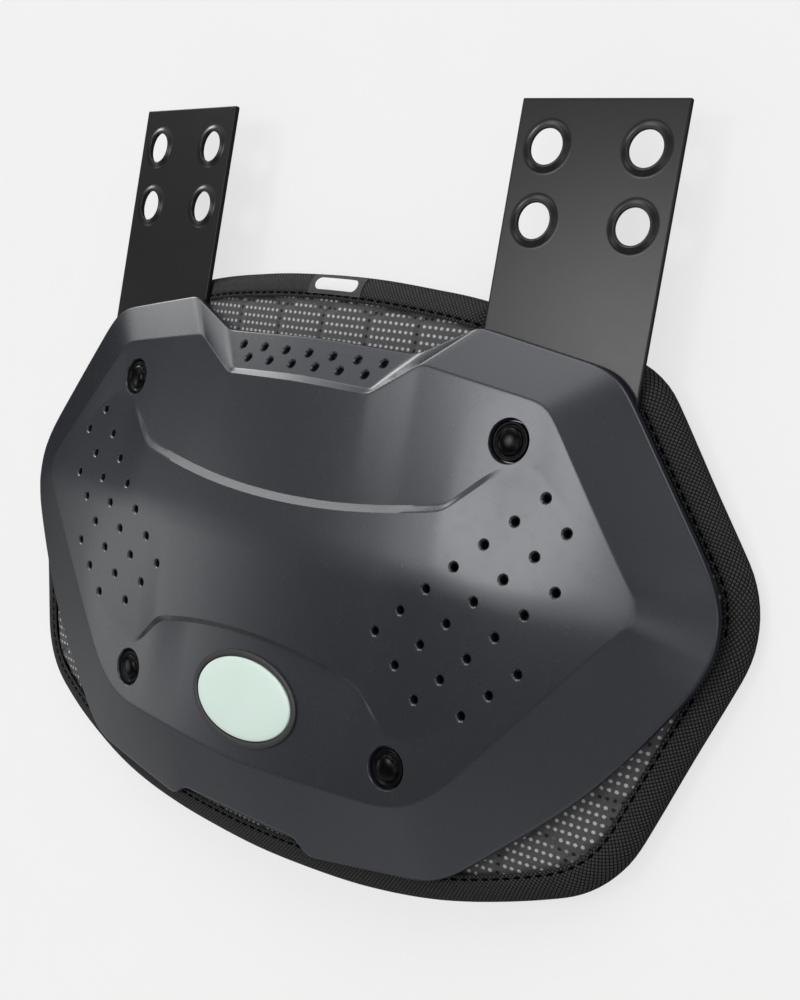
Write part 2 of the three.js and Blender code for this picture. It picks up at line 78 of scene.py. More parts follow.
# %% The way from plate to frame
MM = 0.001
STRAP_TOP, FLOOR = 137.6, -15.0
plate_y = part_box("strap_right")[1].y - STRAP_TOP * MM
plate_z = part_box("pad")[0].z - FLOOR * MM
PLATE = Matrix.Translation((0, plate_y, plate_z)) @ Matrix.Scale(MM, 4)
print("plate origin in the frame:", [round(v, 5) for v in PLATE.translation])


# %% From a bmesh to a piece
def to_object(name, bm):
    mesh = bpy.data.meshes.new(name)
    bm.to_mesh(mesh)
    bm.free()
    made = bpy.data.objects.new(name, mesh)
    bpy.context.scene.collection.objects.link(made)
    return made


def keep_piece(name, bm, finish, nodes=(), sharp=35):
    bmesh.ops.transform(bm, matrix=PLATE, verts=bm.verts)
    piece = to_object(name, bm)
    piece.data.shade_smooth()
    piece.data.set_sharp_from_angle(angle=math.radians(sharp))
    piece.data.materials.append(finish)
    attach(piece, "root")
    if nodes:
        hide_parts(*nodes)
    print(f"{name}: {len(piece.data.polygons)} faces, {[round(d * 1000, 1) for d in piece.dimensions]} mm")
    return piece


# %% A modifier worked out on a bmesh
def with_modifier(bm, kind, tool=None, **settings):
    work = to_object("work", bm)
    modifier = work.modifiers.new(kind, kind)
    for key, value in settings.items():
        setattr(modifier, key, value)
    if tool:
        modifier.object = to_object("tool", tool)
    made = bmesh.new()
    made.from_object(work, bpy.context.evaluated_depsgraph_get())
    for spent in [work] + ([modifier.object] if tool else []):
        bpy.data.objects.remove(spent)
    return made


# %% A grid laid over a shape
def laid_grid(columns, rows, place, uv=None):
    bm = bmesh.new()
    bmesh.ops.create_grid(bm, x_segments=columns - 1, y_segments=rows - 1, size=0.5)
    cell = {vert: (round((vert.co.x + 0.5) * (columns - 1)), round((vert.co.y + 0.5) * (rows - 1)))
            for vert in bm.verts}
    if uv:
        layer = bm.loops.layers.uv.new("cloth")
        for loop in (loop for face in bm.faces for loop in face.loops):
            loop[layer].uv = uv(*cell[loop.vert])
    for vert, (column, row) in cell.items():
        vert.co = place(column, row)
    return bm, cell


# %% A turned shape
def turned(profile, sides, frame_at=Matrix(), closed=False):
    bm = bmesh.new()
    verts = [bm.verts.new((radius, 0, height)) for radius, height in profile]
    edges = [bm.edges.new(pair) for pair in zip(verts, verts[1:] + verts[:1] if closed else verts[1:])]
    bmesh.ops.spin(bm, geom=verts + edges, cent=(0, 0, 0), axis=(0, 0, 1), angle=2 * math.pi, steps=sides,
                   use_merge=True)
    bmesh.ops.remove_doubles(bm, verts=bm.verts, dist=1e-5)
    bmesh.ops.recalc_face_normals(bm, faces=bm.faces)
    bmesh.ops.transform(bm, matrix=frame_at, verts=bm.verts)
    return bm


def gathered(parts):
    whole = bmesh.new()
    for part in parts:
        mesh = bpy.data.meshes.new("part")
        part.to_mesh(mesh)
        part.free()
        whole.from_mesh(mesh)
        bpy.data.meshes.remove(mesh)
    return whole


# %% [markdown]
# ## Finishes
# Every surface is a node material on the piece's own coordinates: moulded plastic has a fine grain and
# uneven gloss, tape has a bias weave, and the mesh has knots in rows. The helpers write small sums of
# Math nodes, which keeps each finish short enough to read.

# %% Writing nodes
def new_finish(name, **sockets):
    finish = bpy.data.materials.new(name)
    finish.use_nodes = True
    shader = finish.node_tree.nodes["Principled BSDF"]
    for socket, value in sockets.items():
        shader.inputs[socket.replace("_", " ")].default_value = value
    return finish, finish.node_tree, shader


def join(tree, target, value):
    if isinstance(value, bpy.types.NodeSocket):
        tree.links.new(value, target)
    else:
        target.default_value = value


def add_node(tree, kind, inputs, output=0, **settings):
    made = tree.nodes.new(kind)
    for key, value in settings.items():
        setattr(made, key, value)
    for socket, value in inputs.items():
        join(tree, made.inputs[socket], value)
    return made.outputs[output]


def sums(tree):
    def work(operation, *values):
        return add_node(tree, "ShaderNodeMath", dict(enumerate(values)), operation=operation)
    return work


# %% Coordinates, mixes and bumps
def plate_coordinates(tree):
    here = add_node(tree, "ShaderNodeTexCoord", {}, "Object")
    back = PLATE.inverted().translation
    return add_node(tree, "ShaderNodeMapping", {"Vector": here, "Location": back, "Scale": (1 / MM,) * 3})


def grain(tree, where, scale, detail=3.0):
    return add_node(tree, "ShaderNodeTexNoise", {"Vector": where, "Scale": scale, "Detail": detail})


def between(tree, share, low, high):
    return add_node(tree, "ShaderNodeMapRange", {"Value": share, "To Min": low, "To Max": high})


def mixed(tree, share, first, second):
    made = tree.nodes.new("ShaderNodeMix")
    made.data_type = "RGBA"
    for name, value in (("Factor_Float", share), ("A_Color", first), ("B_Color", second)):
        join(tree, next(socket for socket in made.inputs if socket.identifier == name), value)
    return next(socket for socket in made.outputs if socket.identifier == "Result_Color")


def raised(tree, height, strength, distance):
    return add_node(tree, "ShaderNodeBump", {"Height": height, "Strength": strength, "Distance": distance})


# %% Moulded plastic
CLOUD_SCALE, GLOSS_SCALE, GRAIN_BUMP = 0.06, 0.35, 0.00005


def plastic(name, dark, light, gloss, grain_size, depth, **sockets):
    finish, tree, shader = new_finish(name, **sockets)
    where = plate_coordinates(tree)
    cloudy = grain(tree, where, CLOUD_SCALE, 2.0)
    fine = grain(tree, where, 1 / grain_size, 2.0)
    join(tree, shader.inputs["Base Color"], mixed(tree, cloudy, (*dark, 1), (*light, 1)))
    join(tree, shader.inputs["Roughness"], between(tree, grain(tree, where, GLOSS_SCALE, 4.0), *gloss))
    join(tree, shader.inputs["Normal"], raised(tree, fine, depth, GRAIN_BUMP))
    return finish


shell_plastic = plastic("shell_plastic", dark=(0.0115, 0.0128, 0.0165), light=(0.0135, 0.0148, 0.0188),
                        gloss=(0.255, 0.285), grain_size=0.6, depth=0.012,
                        Specular_Tint=(0.945, 0.97, 1, 1))
strap_plastic = plastic("strap_plastic", dark=(0.011, 0.011, 0.0112), light=(0.014, 0.014, 0.0142),
                        gloss=(0.21, 0.24), grain_size=0.6, depth=0.012, Specular_IOR_Level=0.16)
rivet_plastic = plastic("rivet_plastic", dark=(0.0015, 0.0015, 0.0017), light=(0.0025, 0.0025, 0.0027),
                        gloss=(0.14, 0.2), grain_size=0.9, depth=0.01, Specular_IOR_Level=0.07)
rim_plastic = plastic("rim_plastic", dark=(0.008, 0.008, 0.009), light=(0.012, 0.012, 0.013),
                      gloss=(0.4, 0.55), grain_size=0.5, depth=0.15)
badge_plastic = plastic("badge_plastic", dark=(0.50, 0.605, 0.55), light=(0.54, 0.645, 0.59),
                        gloss=(0.36, 0.48), grain_size=0.6, depth=0.10)
print("plastics made")

# %% [markdown]
# ## The shell's outline
# The moulding has a raised face inside a sloping flange. Both outlines are straight runs with rounded
# corners, so each is kept as a list of corners with a radius, right half only. The flange then runs from
# a point on the crease to the matching point on the free edge.

# %% Corners of the free edge and of the crease
EDGE_CORNERS = [(0, 64.8, 0), (40.4, 63.7, 3), (60.2, 73.4, 3), (104.4, 66, 18), (148.8, 5.2, 28.7),
                (119.1, -41.5, 170), (77.6, -80.2, 26.5), (30.7, -87.9, 3), (25.3, -83.7, 3), (0, -83.7, 0)]
CREASE_CORNERS = [(0, 50.6, 0), (30, 50, 2), (46.5, 60.8, 2), (88.7, 54.9, 10), (125.9, 7, 7.5),
                  (100.5, -24.1, 200), (68.8, -62.9, 36), (30, -65.2, 20), (25, -65.6, 20), (0, -67, 0)]
TOP_RUNS, BOTTOM_RUNS, SIDE_RUN = range(0, 4), range(4, 9), 4


# %% Rounded corners
def fillet(before, corner, after, steps=12):
    here, radius = Vector(corner[:2]), corner[2]
    if not radius:
        return [here]
    back = (Vector(before[:2]) - here).normalized()
    ahead = (Vector(after[:2]) - here).normalized()
    half = back.angle(ahead) / 2
    middle = (back + ahead).normalized()
    centre = here + middle * radius / math.sin(half)
    turn = math.copysign(math.pi - 2 * half, back.cross(ahead))
    arm = -radius * middle
    return [centre + Matrix.Rotation(-turn * (i / steps - 0.5), 2) @ arm for i in range(steps + 1)]


def rounded_path(corners):
    def flipped(corner):
        return -corner[0], corner[1]
    last = len(corners) - 1
    arcs = []
    for i, corner in enumerate(corners):
        before = corners[i - 1] if i else flipped(corners[1])
        after = corners[i + 1] if i < last else flipped(corners[last - 1])
        arcs.append(fillet(before, corner, after))
    return [arc[len(arc) // 2:] + after[:len(after) // 2 + 1] for arc, after in zip(arcs, arcs[1:])]


# %% Places on a path
def point_along(run, share):
    steps = [(b - a).length for a, b in zip(run, run[1:])]
    left = share * sum(steps)
    for a, b, step in zip(run, run[1:], steps):
        if left <= step and step:
            return a.lerp(b, left / step)
        left -= step
    return run[-1].copy()


def crossing(path, runs, x):
    best = None
    for k in runs:
        low, high, rising = 0.0, 1.0, path[k][-1].x > path[k][0].x
        for _ in range(30):
            middle = (low + high) / 2
            if (point_along(path[k], middle).x < x) == rising:
                low = middle
            else:
                high = middle
        place = point_along(path[k], low)
        if best is None or abs(place.x - x) < best[0]:
            best = abs(place.x - x), k, low, place.y
    return best[1:]


edge_path, crease_path = rounded_path(EDGE_CORNERS), rounded_path(CREASE_CORNERS)
print("shell outline runs:", len(edge_path))

# %% [markdown]
# ## The moulded face
# The face rolls from side to side and breaks softly over a cross ridge. A recess under the top edge and
# another above the bottom edge are stepped into it, and each step dies out where its two sides meet at a
# tip. A flat grid is laid over it column by column, with rows of vertices packed close at the soft edges,
# because Subdivision Surface rounds an edge by how near its neighbours lie. The crisp edges of the steps
# get a crease value instead.

# %% Height of the face
FACE_CROWN, FACE_RADIUS = 16.4, 763.0
LIP_CROWN, LIP_RADIUS = 6.8, 1033.0
RIDGE_Y, RIDGE_ABOVE, RIDGE_BELOW, RIDGE_SOFT = 2.5, 0.066, 0.06, 5.3


def rolled(crown, radius, x):
    return crown - x * x / (2 * radius)


def face_height(x, y):
    rise = y - RIDGE_Y
    fold = math.hypot(rise, RIDGE_SOFT) - RIDGE_SOFT
    tilt = (RIDGE_ABOVE - RIDGE_BELOW) / 2 * rise + (RIDGE_ABOVE + RIDGE_BELOW) / 2 * fold
    return rolled(FACE_CROWN, FACE_RADIUS, x) - tilt


# %% The two recesses
UPPER_RECESS = dict(depth=1.8, middle=14.3, corner=(64, 21.8), tip=(78, 34.5), run=2.3, fade=(42, 114))
LOWER_RECESS = dict(depth=2.0, middle=-26.5, corner=(44.5, -31.5), tip=(55.5, -42.2), run=-1.8, fade=(30, 92))
TIP_SHARE = 0.42


def eased(start, end, x):
    share = min(1.0, max(0.0, (x - start) / (end - start)))
    return share * share * (3 - 2 * share)


def recess_depths(recess, x):
    """How far the recess and the panel beside it lie below the face, on the two sides of the step."""
    full, corner, tip, fade = recess["depth"], recess["corner"][0], recess["tip"][0], recess["fade"]
    at_tip = TIP_SHARE * full
    inner = full - (full - at_tip) * eased(fade[0], tip, x) - at_tip * eased(tip, fade[1], x)
    return inner, inner if x > tip else at_tip * max(0.0, (x - corner) / (tip - corner))


def recess_step(recess, x, low, high):
    middle, corner, tip = recess["middle"], recess["corner"], recess["tip"]
    if x <= corner[0]:
        return middle + (corner[1] - middle) * (x / corner[0]) ** 2
    if x <= tip[0]:
        return corner[1] + (x - corner[0]) / (tip[0] - corner[0]) * (tip[1] - corner[1])
    tip_high = crossing(crease_path, TOP_RUNS, tip[0])[2]
    tip_low = crossing(crease_path, BOTTOM_RUNS, tip[0])[2]
    level = (tip[1] - tip_low) / (tip_high - tip_low)
    return low + level * (high - low)


# %% One column of the face, bottom crease to top crease
CREASE_SUPPORT, STEP_SUPPORT, RIDGE_HALF = 0.95, 0.25, 6.0


def face_column(x, low, high):
    upper, lower = recess_step(UPPER_RECESS, x, low, high), recess_step(LOWER_RECESS, x, low, high)
    upper_in, upper_by = recess_depths(UPPER_RECESS, x)
    lower_in, lower_by = recess_depths(LOWER_RECESS, x)
    upper_foot = upper + min(UPPER_RECESS["run"], 0.2 * (high - upper))
    lower_foot = lower + max(LOWER_RECESS["run"], 0.2 * (low - lower))
    span, below, above = upper - lower, lower_foot - low, high - upper_foot
    ridge = min(max(RIDGE_Y, lower + 0.4 * span), lower + 0.7 * span)
    half = min(RIDGE_HALF, 0.28 * span)
    near = min(STEP_SUPPORT, 0.1 * span)
    at_low, at_foot = min(0.25, CREASE_SUPPORT / below), min(0.2, STEP_SUPPORT / below)
    at_high, at_step = min(0.25, CREASE_SUPPORT / above), min(0.2, STEP_SUPPORT / above)
    rows = [(low + f * below, f * lower_in) for f in (0, at_low, 0.35, 0.7, 1 - at_foot)]
    rows += [(lower_foot + f * (lower - lower_foot), lower_in + f * (lower_by - lower_in)) for f in (0, 1)]
    rows += [(lower + near, lower_by), (ridge - half, 0.3 * lower_by), (ridge - 0.4 * half, 0.08 * lower_by)]
    rows += [(ridge + 0.4 * half, 0.08 * upper_by), (ridge + half, 0.3 * upper_by), (upper - near, upper_by)]
    rows += [(upper + f * (upper_foot - upper), upper_by + f * (upper_in - upper_by)) for f in (0, 1)]
    rows += [(upper_foot + f * above, (1 - f) * upper_in) for f in (at_step, 0.3, 0.65, 1 - at_high, 1)]
    return rows


# %% All columns, with each border point's place on the crease
HALF_COLUMNS = [0, 9, 17, 22.5, 24.5, 26.5, 28.5, 30.5, 33, 38, 43, 45.8, 47.5, 50, 55.5, 60, 64, 67, 72, 78,
                83, 86.5, 89.5, 92.5, 96.5, 101, 106, 111, 115.5, 119, 122]


def measured_column(x):
    top, bottom = crossing(crease_path, TOP_RUNS, x), crossing(crease_path, BOTTOM_RUNS, x)
    rows = [Vector((x, y, face_height(x, y) - depth)) for y, depth in face_column(x, bottom[2], top[2])]
    return rows, {0: bottom[:2], len(rows) - 1: top[:2]}


face_columns = [measured_column(x) for x in HALF_COLUMNS]
ROWS = len(face_columns[0][0])
end_rows, end_border = face_columns[-1]
low_share, high_share = end_border[0][1], end_border[ROWS - 1][1]
for row in range(ROWS):
    turn = 2 * row / (ROWS - 1) - 1
    k, share = (SIDE_RUN, -turn * low_share) if turn < 0 else (SIDE_RUN - 1, 1 - turn * (1 - high_share))
    place = point_along(crease_path[k], share)
    end_rows[row] = Vector((*place, face_height(*place)))
    end_border[row] = k, share
print("face grid:", 2 * len(HALF_COLUMNS) - 1, "columns of", ROWS)

# %% Lay the grid over both halves
middle_column = len(HALF_COLUMNS) - 1


def on_face(column, row):
    place = face_columns[abs(column - middle_column)][0][row].copy()
    place.x = math.copysign(place.x, column - middle_column)
    return place


shell_bm, face_cell = laid_grid(2 * len(HALF_COLUMNS) - 1, ROWS, on_face)

# %% Crease the edges of the two steps
STEP_ROWS = {5: LOWER_RECESS, 6: LOWER_RECESS, 13: UPPER_RECESS, 14: UPPER_RECESS}
crease = shell_bm.edges.layers.float.new("crease_edge")
for edge in shell_bm.edges:
    row, other_row = [face_cell[vert][1] for vert in edge.verts]
    if row == other_row and row in STEP_ROWS:
        edge[crease] = float(max(abs(vert.co.x) for vert in edge.verts) <= STEP_ROWS[row]["tip"][0])
print("creased edges:", sum(edge[crease] > 0 for edge in shell_bm.edges))

# %% [markdown]
# ## The flange
# The border of the face is extruded outwards ring by ring, and each new ring is moved along the line to
# its place on the free edge. The stretch over the vents first drops down a small step, so its rings lie
# at other distances. The notch in the tail is cut out of the same slope, so its edge lies higher.

# %% Rings of the flange
VENT_RISE, VENT_RUN, RIM_REACH = 1.7, 2.1, 0.44
PLAIN_SHARES, VENT_FOOT_RING = [0.035, 0.1, 0.3, 0.6, 0.93, 1.0], 1


def flange_point(start, end, k, ring):
    if k:
        return start.lerp(end, PLAIN_SHARES[ring])
    length = (end - start).xy.length
    gone = [0.2, VENT_RUN, VENT_RUN + 0.25, (VENT_RUN + length) / 2, 0.93 * length, length][ring]
    place = start.lerp(end, gone / length)
    step_foot = start.z - VENT_RISE
    past = (gone - VENT_RUN) / (length - VENT_RUN)
    if gone < VENT_RUN:
        place.z = start.z - VENT_RISE * gone / VENT_RUN
    else:
        place.z = step_foot + past * (end.z - step_foot)
    return place


# %% Extrude the border
def extruded(bm, edges):
    made = bmesh.ops.extrude_edge_only(bm, edges=edges)["geom"]
    verts = [item for item in made if isinstance(item, bmesh.types.BMVert)]
    return verts, [item for item in made if isinstance(item, bmesh.types.BMEdge) and item.is_boundary]


TAIL_X, TAIL_Y, _ = EDGE_CORNERS[7]
border = {}
for vert in (vert for vert in shell_bm.verts if vert.is_boundary):
    column, row = face_cell[vert]
    k, share = face_columns[abs(column - middle_column)][1][row]
    end = point_along(edge_path[k], share)
    end.x = math.copysign(end.x, column - middle_column)
    end = Vector((*end, rolled(LIP_CROWN, LIP_RADIUS, end.x)))
    if end.y < 0 and abs(end.x) < TAIL_X:
        end.z = vert.co.z + (end.z - vert.co.z) * (vert.co.y - end.y) / (vert.co.y - TAIL_Y)
    border[vert] = vert.co.copy(), end + RIM_REACH * (vert.co - end).normalized(), k

rim_edges = [edge for edge in shell_bm.edges if edge.is_boundary]
vent_top = [edge for edge in rim_edges if all(border[vert][2] == 0 for vert in edge.verts)]
for ring in range(len(PLAIN_SHARES)):
    rim_verts, rim_edges = extruded(shell_bm, rim_edges)
    outer = {}
    for vert in rim_verts:
        source = next(edge.other_vert(vert) for edge in vert.link_edges if edge.other_vert(vert) in border)
        outer[vert] = border[source]
        vert.co = flange_point(*border[source], ring)
    border = outer
    if ring == VENT_FOOT_RING:
        vent_foot = [edge for edge in rim_edges if all(border[vert][2] == 0 for vert in edge.verts)]
for edge in vent_top + vent_foot:
    edge[crease] = 1.0
print("shell sheet:", len(shell_bm.faces), "faces before smoothing")

# %% Smooth the sheet and keep it for placing things
bmesh.ops.recalc_face_normals(shell_bm, faces=shell_bm.faces)
shell_bm = with_modifier(shell_bm, "SUBSURF", levels=2, render_levels=2)
if sum(face.normal.z for face in shell_bm.faces) < 0:
    bmesh.ops.reverse_faces(shell_bm, faces=shell_bm.faces)
shell_top = BVHTree.FromBMesh(shell_bm)
OFF_THE_EDGES, FAR_OUT = 0.003, 100.0


def on_shell(x, y):
    ray_start = Vector((x + OFF_THE_EDGES, y + OFF_THE_EDGES, FAR_OUT))
    return shell_top.ray_cast(ray_start, Vector((0, 0, -1)))[:2]


def shell_frame(x, y, depth=0.0):
    place, normal = on_shell(x, y)
    return Matrix.Translation(place - depth * normal) @ normal.to_track_quat("Z", "Y").to_matrix().to_4x4()


print("shell sheet:", len(shell_bm.faces), "faces, middle height", round(on_shell(0, 0)[0].z, 2))

# %% [markdown]
# ## Wall, holes and rivet seats
# The wall could come from a Solidify modifier, but tight concave corners would fold over themselves. The
# sheet is extruded straight down instead, which is how the mould closes. A bevel would be held back by
# the short edges at the corners, so the rim is rolled over in four small rings first. Boolean cuts then
# make the perforations, each with a chamfer, and the round seats that the rivet heads sink into.

# %% Roll the rim over and give the sheet its wall
SHELL_WALL = 2.0
RIM_ROLL = [(0.05, 0.03), (0.3, 0.27), (0.39, 0.42), (RIM_REACH, 0.62)]
drop = shell_bm.verts.layers.float.new("drop")
rim_edges = [edge for edge in shell_bm.edges if edge.is_boundary]
rim_start = {}
for vert in (vert for vert in shell_bm.verts if vert.is_boundary):
    before, after = [edge.other_vert(vert).co for edge in vert.link_edges if edge.is_boundary]
    out = (after - before).cross(Vector((0, 0, 1))).normalized()
    inside = vert.link_faces[0].calc_center_median()
    rim_start[vert] = vert.co.copy(), out if out.dot(vert.co - inside) > 0 else -out
for reach, fall in RIM_ROLL:
    rim_verts, rim_edges = extruded(shell_bm, rim_edges)
    outer = {}
    for vert in rim_verts:
        source = next(edge.other_vert(vert) for edge in vert.link_edges if edge.other_vert(vert) in rim_start)
        start, out = outer[vert] = rim_start[source]
        vert.co = start + reach * out - Vector((0, 0, fall))
        vert[drop] = fall
    rim_start = outer
lower_side = bmesh.ops.extrude_face_region(shell_bm, geom=shell_bm.faces[:], use_keep_orig=True)["geom"]
for vert in (item for item in lower_side if isinstance(item, bmesh.types.BMVert)):
    vert.co.z -= SHELL_WALL - vert[drop]
bmesh.ops.recalc_face_normals(shell_bm, faces=shell_bm.faces)
print("shell wall:", len(shell_bm.faces), "faces")

# %% Where the holes and the rivets are
HOLE_STEP = Vector((-7.62, -7.65))
HOLE_ROWS = [((94, 30.8), 7), ((102, 22.9), 7), ((102.3, 7.4), 6), ((95.3, -15.9), 3)]
side_holes = [Vector(start) + i * HOLE_STEP for start, count in HOLE_ROWS for i in range(count)]
side_holes += [Vector((-place.x, place.y)) for place in side_holes]
VENT_HIGH_Y, VENT_LOW_Y = 59.7, 55.7
vent_holes = [Vector((x, VENT_HIGH_Y)) for x in range(-30, 31, 10)]
vent_holes += [Vector((x, VENT_LOW_Y)) for x in range(-25, 26, 10)]
RIVETS = {"upper": ((79.5, 43.8), 17.0), "lower": ((58.0, -52.2), 15.5)}
rivet_places = [(level, side, (sign * at[0], at[1]), length) for level, (at, length) in RIVETS.items()
                for side, sign in (("left", -1), ("right", 1))]
print(len(side_holes), "side holes,", len(vent_holes), "vents,", len(rivet_places), "rivets")

# %% Bosses, seats and perforations
HOLE_SIDES, BOSS_SIDES, SEAT_SIDES = 20, 40, 48
HOLE_PROFILE = [(0, 0.6), (2.3, 0.6), (1.78, 0.03), (1.7, -0.04), (1.3, -0.3), (1.22, -0.42), (1.2, -0.7),
                (1.2, -5.5), (0, -5.5)]
SEAT_PROFILE = [(0, 1.5), (6.9, 1.5), (6.55, 0.2), (6.3, -0.06), (6.12, -0.3), (6.05, -0.6), (6.0, -1.0),
                (6.0, -2.0), (5.8, -2.2), (2.7, -2.2), (2.7, -6), (0, -6)]
BOSS_PROFILE = [(0, -0.7), (7.6, -0.7), (7.6, -3.5), (7.2, -3.8), (0, -3.8)]
bosses = gathered([turned(BOSS_PROFILE, BOSS_SIDES, shell_frame(*at)) for _, _, at, _ in rivet_places])
shell_bm = with_modifier(shell_bm, "BOOLEAN", bosses, operation="UNION", solver="MANIFOLD")
cutters = [turned(HOLE_PROFILE, HOLE_SIDES, shell_frame(*at)) for at in side_holes + vent_holes]
cutters += [turned(SEAT_PROFILE, SEAT_SIDES, shell_frame(*at)) for _, _, at, _ in rivet_places]
shell_bm = with_modifier(shell_bm, "BOOLEAN", gathered(cutters), operation="DIFFERENCE", solver="MANIFOLD")
keep_piece("shell_moulding", shell_bm, shell_plastic, ["shell"])

# %% [markdown]
# ## Rivets
# Each rivet is a black plastic head: a washer with a round edge, a groove, and a low dome. It is a turned
# shape, so a profile spun about its own axis makes it whole, and the shell's normal gives the way that it
# leans.

# %% Turn the four rivets
RIVET_DEPTH, RIVET_SIDES, SHANK_RADIUS, SHANK_EASE = 1.9, 56, 2.5, 0.4
RIVET_HEAD = [(0, 2.12), (0.8, 2.11), (1.6, 2.06), (2.4, 1.95), (3.1, 1.78), (3.6, 1.55), (3.88, 1.28),
              (3.98, 1.0), (4.1, 0.84), (4.3, 0.8), (4.48, 0.88), (4.62, 1.05), (4.82, 1.16), (5.05, 1.18),
              (5.28, 1.1), (5.44, 0.93), (5.5, 0.7), (5.5, 0.1), (5.4, 0), (SHANK_RADIUS, 0)]
for level, side, at, length in rivet_places:
    shank = [(SHANK_RADIUS, SHANK_EASE - length), (SHANK_RADIUS - SHANK_EASE, -length), (0, -length)]
    rivet_bm = turned(RIVET_HEAD + shank, RIVET_SIDES, shell_frame(*at, RIVET_DEPTH))
    keep_piece(f"rivet_head_{level}_{side}", rivet_bm, rivet_plastic, [f"rivet_{level}_{side}"],
               sharp=50)

# %% [markdown]
# ## Straps
# A strap is a flat strip of tough plastic with four bolt holes, each in a raised lip that was pressed up
# with the hole. It is drawn as a rounded outline with four round gaps, filled flat, and the gaps are
# extruded ring by ring up over the lip and down through the hole. A narrow flat band round each border
# keeps the shading of the flat true.

# %% Sizes of a strap
STRAP_HALF, STRAP_BOTTOM, STRAP_WALL, STRAP_EASE = 25.4, 36.0, 2.0, 0.25
STRAP_X, STRAP_YAW = 84.3, math.radians(4.2)
STRAP_MIDDLE, STRAP_TALL = (STRAP_TOP + STRAP_BOTTOM) / 2, (STRAP_TOP - STRAP_BOTTOM) / 2
STRAP_CORNER, STRAP_BAND = 0.35, 0.35
HOLES_Y, HOLE_ASIDE, HOLE_ABOVE = 114.2, 15.1, 10.15
strap_holes = [Vector((x, HOLES_Y + y)) for x in (-HOLE_ASIDE, HOLE_ASIDE) for y in (-HOLE_ABOVE, HOLE_ABOVE)]
LIP_FOOT, LIP_SIDES = 8.0, 48
LIP_PROFILE = [(7.6, 0.0), (7.3, 0.03), (6.9, 0.14), (6.5, 0.32), (6.1, 0.5), (5.75, 0.62), (5.45, 0.66),
               (5.2, 0.6), (5.06, 0.45), (5.0, 0.25), (5.04, -0.1), (5.4, -0.8), (6.0, -1.5), (6.5, -1.88),
               (6.8, -2.0)]
RIM_PROFILE = [(0.12, -0.03), (0.25, -0.18), (0.25, -1.15), (0.05, -1.6), (-0.5, -2.0)]


# %% Model a strap flat
def strap_sheet():
    bm = bmesh.new()
    bmesh.ops.create_grid(bm, x_segments=1, y_segments=1, size=1)
    bmesh.ops.scale(bm, vec=(STRAP_HALF - STRAP_EASE, STRAP_TALL - STRAP_EASE, 1), verts=bm.verts)
    bmesh.ops.translate(bm, vec=(0, STRAP_MIDDLE, 0), verts=bm.verts)
    bmesh.ops.bevel(bm, geom=bm.verts[:], offset=STRAP_CORNER, affect="VERTICES", segments=4, profile=0.5,
                    material=-1)
    bmesh.ops.delete(bm, geom=bm.faces[:], context="FACES_ONLY")
    for at in strap_holes:
        bmesh.ops.create_circle(bm, segments=LIP_SIDES, radius=LIP_FOOT, matrix=Matrix.Translation((*at, 0)))
    bmesh.ops.triangle_fill(bm, edges=bm.edges[:], use_beauty=True, normal=(0, 0, 1))
    bmesh.ops.inset_region(bm, faces=bm.faces[:], thickness=STRAP_BAND, use_boundary=True,
                           use_even_offset=True)
    return bm


def near_hole(edge, at):
    return (edge.verts[0].co.xy - at).length < LIP_FOOT + 0.5


def strap_solid():
    bm = strap_sheet()
    border = [edge for edge in bm.edges if edge.is_boundary]
    for at in strap_holes:
        edges = [edge for edge in border if near_hole(edge, at)]
        for radius, height in LIP_PROFILE:
            verts, edges = extruded(bm, edges)
            for vert in verts:
                vert.co = (*(at + (vert.co.xy - at).normalized() * radius), height)
    edges = [edge for edge in border if not any(near_hole(edge, at) for at in strap_holes)]
    base = Vector((STRAP_HALF - STRAP_EASE, STRAP_TALL - STRAP_EASE))
    grown = 0.0
    for out, height in RIM_PROFILE:
        verts, edges = extruded(bm, edges)
        for vert in verts:
            vert.co.x *= (base.x + out) / (base.x + grown)
            vert.co.y = STRAP_MIDDLE + (vert.co.y - STRAP_MIDDLE) * (base.y + out) / (base.y + grown)
            vert.co.z = height
        grown = out
    bmesh.ops.triangle_fill(bm, edges=[edge for edge in bm.edges if edge.is_boundary], normal=(0, 0, -1))
    bmesh.ops.recalc_face_normals(bm, faces=bm.faces)
    return bm


# %% Put both straps in place
def strap_frame(sign):
    return Matrix.Translation((sign * STRAP_X, 0, 0)) @ Matrix.Rotation(sign * STRAP_YAW, 4, "Y")


for side, sign in (("left", -1), ("right", 1)):
    strap_bm = strap_solid()
    bmesh.ops.transform(strap_bm, matrix=strap_frame(sign), verts=strap_bm.verts)
    keep_piece(f"strap_sheet_{side}", strap_bm, strap_plastic, [f"strap_{side}"], sharp=40)

# %% [markdown]
# ## Where the pad is pressed
# Foam gives way: the straps lie in it and the shell sits over it. One function says how high the pad may
# rise at a point, from the underside of the shell and from the backs of the straps, and the soft pieces
# are held under it.

# %% How high the pad may rise
PRESS_GAP, PRESS_SLOPE = 0.3, 0.8


def under_strap(x, y):
    off = abs(x) - STRAP_X
    aside = max(abs(off) - STRAP_HALF, STRAP_BOTTOM - y, y - STRAP_TOP, 0)
    return -off * math.tan(STRAP_YAW) - STRAP_WALL - PRESS_GAP + PRESS_SLOPE * aside


def press_limit(x, y):
    place = on_shell(x, y)[0]
    under_shell = place.z - SHELL_WALL - PRESS_GAP if place else FAR_OUT
    return min(under_shell, under_strap(x, y))


